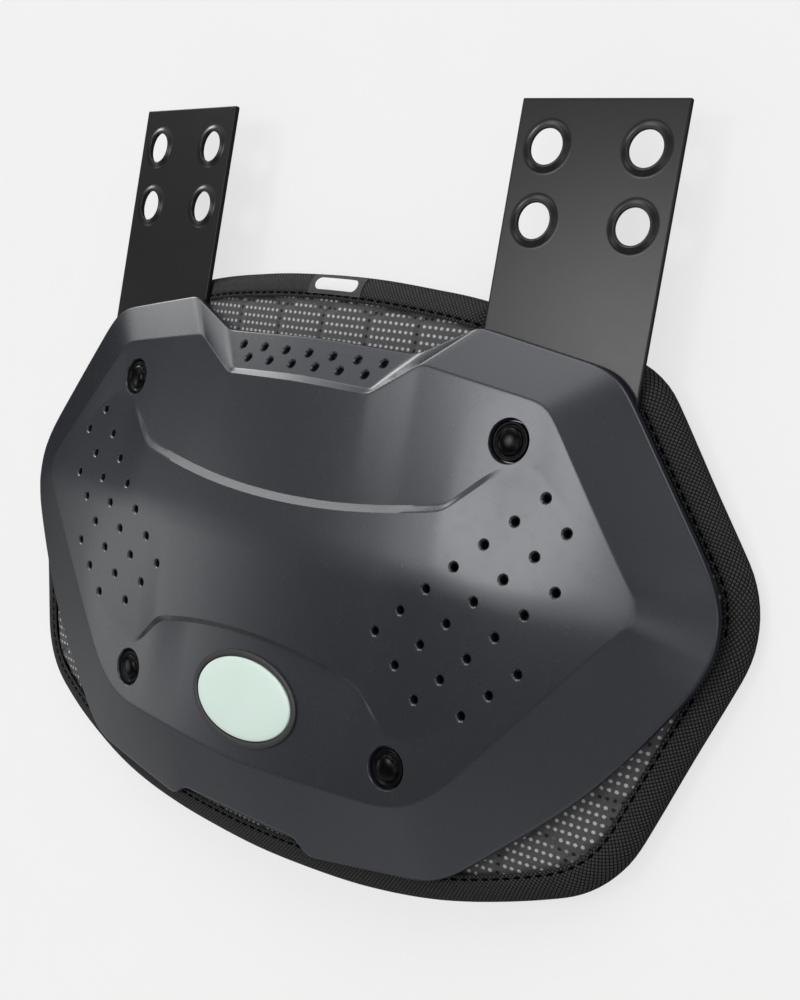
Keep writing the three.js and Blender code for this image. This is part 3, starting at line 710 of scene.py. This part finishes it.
# %% The seam where pad and tape meet
SEAM_CORNERS = [(0, 79.1, 420), (56, 74.6, 200), (106.6, 62.3, 18), (144.8, 9.6, 24), (118.3, -62.1, 29),
                (73.4, -82.2, 200), (0, -88.7, 420)]
seam_path = rounded_path(SEAM_CORNERS)
SEAM_STEPS = 26
right_half = [point_along(run, i / SEAM_STEPS) for run in seam_path for i in range(SEAM_STEPS)]
right_half.append(seam_path[-1][-1])
seam = right_half + [Vector((-place.x, place.y)) for place in right_half[-2:0:-1]]


def even_loop(loop, count):
    steps = [(b - a).length for a, b in zip(loop, loop[1:] + loop[:1])]
    return [point_along(loop + loop[:1], i / count) for i in range(count)], sum(steps)


TAPE_STATIONS = 340
seam, SEAM_LENGTH = even_loop(seam, TAPE_STATIONS)
seam_out = []
for before, after in zip(seam[-1:] + seam[:-1], seam[1:] + seam[:1]):
    along = (after - before).normalized()
    seam_out.append(Vector((-along.y, along.x)))
if seam_out[0].y < 0:
    seam_out = [-out for out in seam_out]
print("seam length:", round(SEAM_LENGTH), "mm")

# %% [markdown]
# ## The pad
# The pad is a slab of foam cells in knitted mesh. The cloth solver gives it its swell: the slab is
# remeshed with even faces, its seam is pinned, and pressure pushes the mesh out for twenty frames. Each
# point may move only a little, because real foam does, and the pressed places are set afterwards.

# %% Front and back of the foam
PAD_CROWN, PAD_RADIUS, PAD_LEAN = 4.0, 800.0, 0.006
VAULT_HEIGHT, VAULT_HALF = 9.0, 110.0


def pad_front(x, y):
    return rolled(PAD_CROWN, PAD_RADIUS, x) - PAD_LEAN * y


def pad_back(x):
    return FLOOR + VAULT_HEIGHT * (1 - min(1.0, abs(x) / VAULT_HALF) ** 2)


# %% The foam slab, remeshed evenly
PAD_SLAB, PAD_VOXEL, PAD_SLACK, PAD_UNDER_TAPE = 12, 4.0, 0.5, 2.8
pad_bm = bmesh.new()
bmesh.ops.create_circle(pad_bm, cap_ends=False, segments=TAPE_STATIONS, radius=1)
pad_bm.verts.ensure_lookup_table()
for vert, place, out in zip(pad_bm.verts, seam, seam_out):
    vert.co = (*(place + PAD_UNDER_TAPE * out), 0)
bmesh.ops.triangle_fill(pad_bm, edges=pad_bm.edges[:], use_beauty=True, normal=(0, 0, 1))
raised_side = bmesh.ops.extrude_face_region(pad_bm, geom=pad_bm.faces[:], use_keep_orig=True)["geom"]
raised_side = [item for item in raised_side if isinstance(item, bmesh.types.BMVert)]
bmesh.ops.translate(pad_bm, verts=raised_side, vec=(0, 0, PAD_SLAB))
bmesh.ops.recalc_face_normals(pad_bm, faces=pad_bm.faces)
pad_bm = with_modifier(pad_bm, "REMESH", mode="VOXEL", voxel_size=PAD_VOXEL)
for vert in pad_bm.verts:
    share = min(1.0, max(0.0, vert.co.z / PAD_SLAB))
    low, high = pad_back(vert.co.x) + PAD_SLACK, pad_front(vert.co.x, vert.co.y) - PAD_SLACK
    vert.co.z = low + share * (high - low)
print("foam slab:", len(pad_bm.faces), "faces")

# %% Pin the seam and let the cloth solver swell the mesh
PAD_CAP, PIN_BAND, PAD_PRESSURE, SWELL_FRAMES = 1.6, 5.0, 4.0, 20


def from_seam(x, y):
    return min((Vector((x, y)) - place).length for place in seam)


pinned = [vert.index for vert in pad_bm.verts if from_seam(*vert.co.xy) < PIN_BAND]
bmesh.ops.transform(pad_bm, matrix=PLATE, verts=pad_bm.verts)
foam = to_object("foam", pad_bm)
foam.vertex_groups.new(name="seam").add(pinned, 1.0, "REPLACE")
rest_places = [vert.co.copy() for vert in foam.data.vertices]
cloth = foam.modifiers.new("Swell", "CLOTH").settings
cloth.use_pressure, cloth.uniform_pressure_force = True, PAD_PRESSURE
cloth.effector_weights.gravity = 0.0
cloth.vertex_group_mass = "seam"
for moment in range(1, SWELL_FRAMES + 1):
    bpy.context.scene.frame_set(moment)
swollen = foam.evaluated_get(bpy.context.evaluated_depsgraph_get()).to_mesh()
moves = [vert.co - rest for vert, rest in zip(swollen.vertices, rest_places)]
print("largest swell:", round(max(move.length for move in moves) / MM, 1), "mm, kept to", PAD_CAP)

# %% Keep the swell, press it under the shell and the straps
for vert, rest, move in zip(foam.data.vertices, rest_places, moves):
    vert.co = rest + move * min(1.0, PAD_CAP * MM / max(move.length, 1e-9))
pad_bm = bmesh.new()
pad_bm.from_mesh(foam.data)
bpy.data.objects.remove(foam)
bpy.context.scene.frame_set(1)
bmesh.ops.transform(pad_bm, matrix=PLATE.inverted(), verts=pad_bm.verts)
pad_bm = with_modifier(pad_bm, "SUBSURF", levels=1, render_levels=1)
for vert in pad_bm.verts:
    x, y, z = vert.co
    vert.co.z = max(FLOOR, min(z, press_limit(x, y)))

# %% [markdown]
# ## Mesh cover
# The cover is a dark knitted mesh with a pale knot in each opening, in straight rows. The foam under it
# is cast in six-sided cells, and along their borders the knots sink into grooves, where the shade is
# painted into their colour as near black. The pattern is worked out from the plate coordinates: each
# knot takes its colour, pale or painted-shade black, from the cell border nearest to its own middle.

# %% Knots and foam cells as nodes
KNOT_X, KNOT_Y, KNOT_HALF_WIDE, KNOT_HALF_TALL = 2.1, 2.4, 0.58, 0.5
CELL_WIDE, CELL_ROW, CELL_X, CELL_Y, CELL_SLANT = 18.9, 16.8, -1.7, 72.9, 0.844


def cell_border(work, x, y):
    """Share of the way from the middle of a foam cell, 0, to its border, 1."""
    def folded(value, period):
        return work("WRAP", value, period / 2, -period / 2)
    reach = []
    for step in (0.5, 0.0):
        across = folded(work("ADD", x, step * CELL_WIDE - CELL_X), CELL_WIDE)
        along = folded(work("ADD", y, (1 - 2 * step) * CELL_ROW - CELL_Y + CELL_ROW / 3), 2 * CELL_ROW)
        across, along = work("ABSOLUTE", across), work("ABSOLUTE", along)
        slanted = work("ADD", work("MULTIPLY", across, 0.5), work("MULTIPLY", along, CELL_SLANT))
        reach.append(work("DIVIDE", work("MAXIMUM", across, slanted), CELL_WIDE / 2))
    return work("MINIMUM", *reach)


def mesh_cover():
    finish, tree, shader = new_finish("mesh_cover", Roughness=0.75, Specular_IOR_Level=0.3, Sheen_Weight=0.05,
                                      Sheen_Roughness=0.5)
    work = sums(tree)
    where = add_node(tree, "ShaderNodeSeparateXYZ", {0: plate_coordinates(tree)}, "X").node.outputs
    x, y = where["X"], where["Y"]
    knot_x = work("SNAP", work("ADD", x, KNOT_X / 2), KNOT_X)
    knot_y = work("SNAP", work("ADD", y, KNOT_Y / 2), KNOT_Y)
    off_x, off_y = work("SUBTRACT", x, knot_x), work("SUBTRACT", y, knot_y)
    far = work("SQRT", work("ADD", work("POWER", work("DIVIDE", off_x, KNOT_HALF_WIDE), 2.0),
                            work("POWER", work("DIVIDE", off_y, KNOT_HALF_TALL), 2.0)))
    thread = grain(tree, plate_coordinates(tree), 2.2, 2.0)
    ragged = work("MULTIPLY", far, between(tree, thread, 0.55, 1.5))
    knot = add_node(tree, "ShaderNodeMapRange", {"Value": ragged, "From Min": 1.15, "From Max": 0.8})
    # Knots on the foam cells' borders get a near-black colour: painted shade where they sink into the grooves.
    painted_shade_at_border = add_node(tree, "ShaderNodeMapRange", {"Value": cell_border(work, knot_x, knot_y), "From Min": 0.88,
                                                 "From Max": 0.9})
    groove = add_node(tree, "ShaderNodeMapRange", {"Value": cell_border(work, x, y), "From Min": 0.78,
                                                   "From Max": 1.0})
    ground = mixed(tree, thread, (0.015, 0.015, 0.016, 1), (0.085, 0.085, 0.088, 1))
    pale = mixed(tree, thread, (0.24, 0.24, 0.245, 1), (0.46, 0.46, 0.465, 1))
    # The near black on the border knots is painted shade, not the thread's own colour.
    knot_colour_and_painted_shade = mixed(tree, painted_shade_at_border, pale, (0.002, 0.002, 0.002, 1))
    join(tree, shader.inputs["Base Color"], mixed(tree, knot, ground, knot_colour_and_painted_shade))
    height = work("SUBTRACT", work("MULTIPLY", knot, 0.5), work("MULTIPLY", groove, 2.5))
    join(tree, shader.inputs["Normal"], raised(tree, height, 0.6, 0.0005))
    return finish


pad_piece = keep_piece("pad_cover", pad_bm, mesh_cover(), ["pad"])

# %% [markdown]
# ## Binding
# Woven tape is folded over the edge of the pad and sewn through. It could be a curve with a bevel
# profile, but the tape thins over the vaulted back and is pressed flat under the straps, so a grid is
# laid along the seam instead, one section at each station, and given its thickness afterwards. Its UV map
# runs in millimetres for the weave.

# %% One section of the tape
TAPE_REACH, TAPE_WALL = 7.4, 0.5
FRONT_LAP = [(-0.8, 0.1), (-0.5, 0.28), (-0.05, 0.3), (0.3, 0.22), (0.55, 0.16), (0.8, 0.22), (1.4, 0.34)]
ROLL_TURNS = [0.09, 0.14, 0.2, 0.27, 0.35, 0.43, 0.5, 0.57, 0.65, 0.73, 0.8, 0.87, 0.93]
BACK_LAP = [(0.7, 0.1), (0.0, 0.15), (-1.7, 0.1)]
PULL_QUICK, PULL_SLOW, PULL_REACH, ROLL_LIFT = 0.31, 0.083, 0.08, 0.3


def tape_section(station):
    place, out = seam[station % TAPE_STATIONS], seam_out[station % TAPE_STATIONS]
    front, back = pad_front(*place), pad_back(place.x)
    middle, half = (front + back) / 2, (front - back) / 2
    pull = math.sin(PULL_QUICK * station) * math.sin(PULL_SLOW * station)
    section = [(reach, front + rise) for reach, rise in FRONT_LAP]
    section += [(TAPE_REACH * math.sin(math.pi * turn) + PULL_REACH * pull,
                 middle + (half + ROLL_LIFT) * math.cos(math.pi * turn)) for turn in ROLL_TURNS]
    section += [(reach, back - rise) for reach, rise in BACK_LAP]
    made = []
    for reach, height in section:
        spot = place + reach * out
        made.append(Vector((*spot, max(FLOOR, min(height, press_limit(*spot))))))
    return made


# %% Lay the tape
tape_sections = [tape_section(station) for station in range(TAPE_STATIONS)]
tape_widths = [0.0]
for a, b in zip(tape_sections[0], tape_sections[0][1:]):
    tape_widths.append(tape_widths[-1] + (b - a).length)
tape_bm, _ = laid_grid(TAPE_STATIONS + 1, len(tape_widths),
                       lambda station, row: tape_sections[station % TAPE_STATIONS][row],
                       lambda station, row: (station * SEAM_LENGTH / TAPE_STATIONS, tape_widths[row]))
bmesh.ops.remove_doubles(tape_bm, verts=tape_bm.verts, dist=0.01)
bmesh.ops.recalc_face_normals(tape_bm, faces=tape_bm.faces)
bmesh.ops.solidify(tape_bm, geom=tape_bm.faces[:], thickness=TAPE_WALL)
tape_surface = BVHTree.FromBMesh(tape_bm)
print("tape width:", round(tape_widths[-1], 1), "mm")


# %% Woven tape
GAP_DARK, GAP_LIGHT = 0.3, 0.62


def woven(name, dark, light, pitch, strength):
    finish, tree, shader = new_finish(name, Roughness=0.7, Specular_IOR_Level=0.15)
    work = sums(tree)
    uv = add_node(tree, "ShaderNodeUVMap", {}, uv_map="cloth")
    parts = add_node(tree, "ShaderNodeSeparateXYZ", {0: uv}, "X").node.outputs
    turn = math.pi / pitch / math.sqrt(2)
    first = work("SINE", work("MULTIPLY", work("ADD", parts["X"], parts["Y"]), turn))
    second = work("SINE", work("MULTIPLY", work("SUBTRACT", parts["X"], parts["Y"]), turn))
    gap = work("MINIMUM", work("ABSOLUTE", first), work("ABSOLUTE", second))
    threads = add_node(tree, "ShaderNodeMapRange", {"Value": gap, "From Min": GAP_DARK, "From Max": GAP_LIGHT})
    uneven = grain(tree, uv, 0.5, 4.0)
    join(tree, shader.inputs["Base Color"],
         mixed(tree, work("MULTIPLY", threads, between(tree, uneven, 0.6, 1.2)), (*dark, 1), (*light, 1)))
    join(tree, shader.inputs["Normal"], raised(tree, threads, strength, 0.0003))
    return finish, tree, shader


tape_weave, _, _ = woven("tape_weave", dark=(0.0006, 0.0006, 0.0007), light=(0.036, 0.036, 0.037),
                         pitch=0.9, strength=0.7)
tape_piece = keep_piece("binding_tape", tape_bm, tape_weave, ["pad_binding"], sharp=60)

# %% [markdown]
# ## Stitches
# A lockstitch shows as short dashes lying in a groove. There are some hundreds, so each is one small ball
# with few faces, drawn out along the seam, and all are joined into one piece. None is made where a strap
# covers the seam.

# %% Lay the stitches along both faces of the tape
STITCH_PITCH, STITCH_LONG, STITCH_WIDE, STITCH_THICK, STITCH_REACH = 3.3, 2.75, 0.9, 0.26, 0.55
stitch_count = round(SEAM_LENGTH / STITCH_PITCH)
stitch_line, _ = even_loop([place + STITCH_REACH * out for place, out in zip(seam, seam_out)], stitch_count)
stitches = bmesh.new()
for i, place in enumerate(stitch_line):
    along = (stitch_line[(i + 1) % stitch_count] - stitch_line[i - 1]).normalized()
    if abs(abs(place.x) - STRAP_X) < STRAP_HALF + 1 and place.y > STRAP_BOTTOM:
        continue
    turn = Matrix.Rotation(math.atan2(along.y, along.x), 4, "Z")
    shape = Matrix.Diagonal((STITCH_LONG / 2, STITCH_WIDE / 2, STITCH_THICK, 1))
    for way in (1, -1):
        spot = tape_surface.ray_cast(Vector((*place, FAR_OUT * way)), Vector((0, 0, -way)))[0]
        if spot and not (way > 0 and on_shell(*place)[0]):
            spot.z = max(spot.z, FLOOR + STITCH_THICK)
            bmesh.ops.create_uvsphere(stitches, u_segments=8, v_segments=5, radius=1,
                                      matrix=Matrix.Translation(spot) @ turn @ shape)
thread_black = plastic("thread_black", dark=(0.0002, 0.0002, 0.0002), light=(0.0006, 0.0006, 0.0006),
                       gloss=(0.7, 0.8), grain_size=0.4, depth=0.3, Specular_IOR_Level=0.03)
keep_piece("binding_stitches", stitches, thread_black)

# %% [markdown]
# ## Label patch
# A small woven patch is caught under the tape's stitching at the middle of the top edge. It follows the
# roll of the tape, so it is laid over the same section a little higher. It stays bare but for a plain
# pale bar in its weave.

# %% Lay the patch
PATCH_X, PATCH_HALF, PATCH_LIFT, PATCH_WALL = 1.2, 11.0, 0.5, 0.3
PATCH_COLUMNS, PATCH_TURNS = 25, [0.03, 0.07, 0.11, 0.15, 0.19, 0.23, 0.27, 0.31, 0.34]


def on_patch(column, row):
    x = PATCH_X + PATCH_HALF * (2 * column / (PATCH_COLUMNS - 1) - 1)
    y = crossing(seam_path, [0], abs(x))[2]
    front, back = pad_front(x, y), pad_back(x)
    angle = math.pi * PATCH_TURNS[row]
    half = (front - back) / 2 + PATCH_LIFT
    up, out = (TAPE_REACH + PATCH_LIFT) * math.sin(angle), half * math.cos(angle)
    return Vector((x, y + up, (front + back) / 2 + out))


MEASURED_COLUMN = 10
patch_rise = [0.0]
for row in range(1, len(PATCH_TURNS)):
    step = on_patch(MEASURED_COLUMN, row) - on_patch(MEASURED_COLUMN, row - 1)
    patch_rise.append(patch_rise[-1] + step.length)


def patch_cloth(column, row):
    return on_patch(column, row).x - PATCH_X, patch_rise[row] - patch_rise[-1] / 2


patch_bm, _ = laid_grid(PATCH_COLUMNS, len(PATCH_TURNS), on_patch, patch_cloth)
bmesh.ops.recalc_face_normals(patch_bm, faces=patch_bm.faces)
bmesh.ops.solidify(patch_bm, geom=patch_bm.faces[:], thickness=PATCH_WALL)
print("patch height:", round(patch_rise[-1], 1), "mm")

# %% The patch's weave, with a plain bar
patch_weave, patch_tree, patch_shader = woven("patch_weave", dark=(0.03, 0.03, 0.032),
                                              light=(0.06, 0.06, 0.063), pitch=0.6, strength=0.4)
work = sums(patch_tree)
patch_uv = add_node(patch_tree, "ShaderNodeUVMap", {}, uv_map="cloth")
patch_xy = add_node(patch_tree, "ShaderNodeSeparateXYZ", {0: patch_uv}, "X").node.outputs
BAR_HALF, BAR_ROUND, BAR_EDGE, BAR_PALE = 8.8, 2.1, 0.08, (0.62, 0.62, 0.62, 1)
past_end = work("MAXIMUM", work("SUBTRACT", work("ABSOLUTE", patch_xy["X"]), BAR_HALF - BAR_ROUND), 0.0)
from_bar = work("SQRT", work("ADD", work("POWER", past_end, 2.0), work("POWER", patch_xy["Y"], 2.0)))
in_bar = add_node(patch_tree, "ShaderNodeMapRange", {"Value": from_bar, "From Min": BAR_ROUND + BAR_EDGE,
                                                     "From Max": BAR_ROUND - BAR_EDGE})
plain_weave = patch_shader.inputs["Base Color"].links[0].from_socket
join(patch_tree, patch_shader.inputs["Base Color"], mixed(patch_tree, in_bar, plain_weave, BAR_PALE))
keep_piece("label_weave", patch_bm, patch_weave, ["label_patch"], sharp=50)

# %% [markdown]
# ## Badge
# An oval badge is set into the lower recess: a dark rim with a pale plate in it. Both are turned as round
# shapes, stretched into an oval that keeps the rim's width even, and then let down onto the curve of the
# shell.

# %% Turn, stretch and lay the badge
BADGE_Y, BADGE_STRETCH, BADGE_INNER, BADGE_SIDES = -47.5, 8.5, 12.5, 72
RIM_SECTION = [(14.5, -0.3), (14.5, 0.35), (14.38, 0.62), (14.1, 0.75), (12.95, 0.75), (12.65, 0.66),
               (BADGE_INNER, 0.4), (BADGE_INNER, -0.3)]
PLATE_PROFILE = [(0, 1.2), (3, 1.19), (6, 1.15), (9, 1.06), (10.8, 0.97), (11.7, 0.87), (12.1, 0.7),
                 (12.25, 0.4), (12.25, -0.3), (0, -0.3)]


def laid_oval(bm):
    for vert in bm.verts:
        reach = max(vert.co.xy.length, BADGE_INNER)
        x, y = vert.co.x * (reach + BADGE_STRETCH) / reach, vert.co.y + BADGE_Y
        vert.co = x, y, vert.co.z + on_shell(x, y)[0].z
    bmesh.ops.recalc_face_normals(bm, faces=bm.faces)
    return bm


surround_bm = laid_oval(turned(RIM_SECTION, BADGE_SIDES, closed=True))
keep_piece("badge_surround", surround_bm, rim_plastic, ["badge_rim"])
plate_bm = laid_oval(turned(PLATE_PROFILE, BADGE_SIDES))
keep_piece("badge_plate", plate_bm, badge_plastic, ["badge"])

# %% [markdown]
# ## Floor, light and camera
# The floor is a pale table, lit a little from below as product tables are, so that shadows stay faint.
# Lamps near the object would shade the table unevenly, so the whole studio is painted into the world as
# soft patches of light far away: each is brightest in one direction and fades around it. The first is the
# key, high on the left, which the plastic mirrors towards the camera, and the camera stands where the
# photographer stood.

# %% Pale table
TABLE_HALF, TABLE_GLOW, TABLE_GRAIN = 4, 0.695, 40.0
TABLE_DARK, TABLE_LIGHT = (0.145, 0.145, 0.145, 1), (0.155, 0.155, 0.155, 1)
floor_bm = bmesh.new()
bmesh.ops.create_grid(floor_bm, x_segments=1, y_segments=1, size=TABLE_HALF)
floor = to_object("pale_table", floor_bm)
table, table_tree, table_shader = new_finish("table", Roughness=0.9, Specular_IOR_Level=0.1,
                                             Emission_Color=(1, 1, 1, 1), Emission_Strength=TABLE_GLOW)
table_where = add_node(table_tree, "ShaderNodeTexCoord", {}, "Object")
table_grain = grain(table_tree, table_where, TABLE_GRAIN)
join(table_tree, table_shader.inputs["Base Color"], mixed(table_tree, table_grain, TABLE_DARK, TABLE_LIGHT))
floor.data.materials.append(table)
floor.visible_glossy = False
floor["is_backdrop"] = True

# %% Soft patches of light in the world
AMBIENT = 0.01
LIGHT_PATCHES = [((-0.381, 0.063, 0.922), 170.0, 21.5), ((-0.071, -0.002, 0.997), 89.0, 2.7),
                 ((-0.165, 0.596, 0.786), 62.0, 4.0), ((-0.390, 0.791, 0.471), 34.0, 6.7),
                 ((-0.834, -0.192, 0.518), 110.0, 3.4), ((-0.840, 0.532, 0.104), 75.0, 14.0),
                 ((-0.768, -0.637, 0.061), 15.0, 1.1), ((-0.378, -0.677, 0.632), 31.0, 0.9),
                 ((-0.716, 0.301, 0.630), 60.0, 1.9), ((0.039, -0.708, 0.705), 40.0, 1.2),
                 ((0.228, 0.206, 0.952), 100.0, 2.0), ((0.252, -0.184, 0.950), 75.0, 3.7),
                 ((0.621, 0.775, 0.116), 23.0, 0.7), ((0.450, 0.780, 0.430), 30.0, 5.0),
                 ((0.790, 0.100, 0.600), 25.0, 2.0), ((0.350, -0.900, 0.250), 10.0, 1.0),
                 ((0.960, 0.000, 0.280), 10.0, 0.7)]
world = bpy.data.worlds.new("studio")
bpy.context.scene.world = world
world.use_nodes = True
sky = world.node_tree
work = sums(sky)
looking = add_node(sky, "ShaderNodeTexCoord", {}, "Generated")
glow = AMBIENT
for towards, sharpness, strength in LIGHT_PATCHES:
    facing = add_node(sky, "ShaderNodeVectorMath", {0: looking, 1: towards}, "Value", operation="DOT_PRODUCT")
    fading = work("EXPONENT", work("MULTIPLY", work("SUBTRACT", facing, 1.0), sharpness))
    glow = work("MULTIPLY_ADD", fading, strength, glow)
lights = sky.nodes["Background"]
join(sky, lights.inputs["Color"], (1, 1, 1, 1))
join(sky, lights.inputs["Strength"], glow)

# %% A pale wall beyond the table, which only the camera sees
WALL_TONE = 0.875
wall = add_node(sky, "ShaderNodeBackground", {"Color": (WALL_TONE, WALL_TONE, WALL_TONE, 1)})
seen = add_node(sky, "ShaderNodeLightPath", {}, "Is Camera Ray")
shown = add_node(sky, "ShaderNodeMixShader", {0: seen, 1: lights.outputs[0], 2: wall})
join(sky, sky.nodes["World Output"].inputs["Surface"], shown)
bpy.context.scene.view_settings.view_transform = "Standard"
print(len(LIGHT_PATCHES), "patches of light")

# %% Camera
EYE = Vector((293.78, 45.68, 304.41))
FORWARD, UP = Vector((-0.64230, -0.06100, -0.76402)), Vector((-0.16705, 0.98401, 0.06187))
FOCAL_LENGTH, SENSOR_WIDTH = 49.12, 36.0
lens = bpy.data.cameras.new("camera")
lens.lens, lens.sensor_width = FOCAL_LENGTH, SENSOR_WIDTH
camera = bpy.data.objects.new("camera", lens)
bpy.context.scene.collection.objects.link(camera)
turned_to = Matrix((FORWARD.cross(UP), UP, -FORWARD)).transposed().to_4x4()
camera.matrix_world = Matrix.Translation(PLATE @ EYE) @ turned_to
bpy.context.scene.camera = camera

# %% [markdown]
# ## Sizes
# The boxes of the imported object and of the dressed one are printed side by side.

# %% Print both boxes and finish
dressed_box = [list(corner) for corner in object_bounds()]
print("packed box ", [[round(v * 1000, 1) for v in corner] for corner in cad_box])
print("dressed box", [[round(v * 1000, 1) for v in corner] for corner in dressed_box])
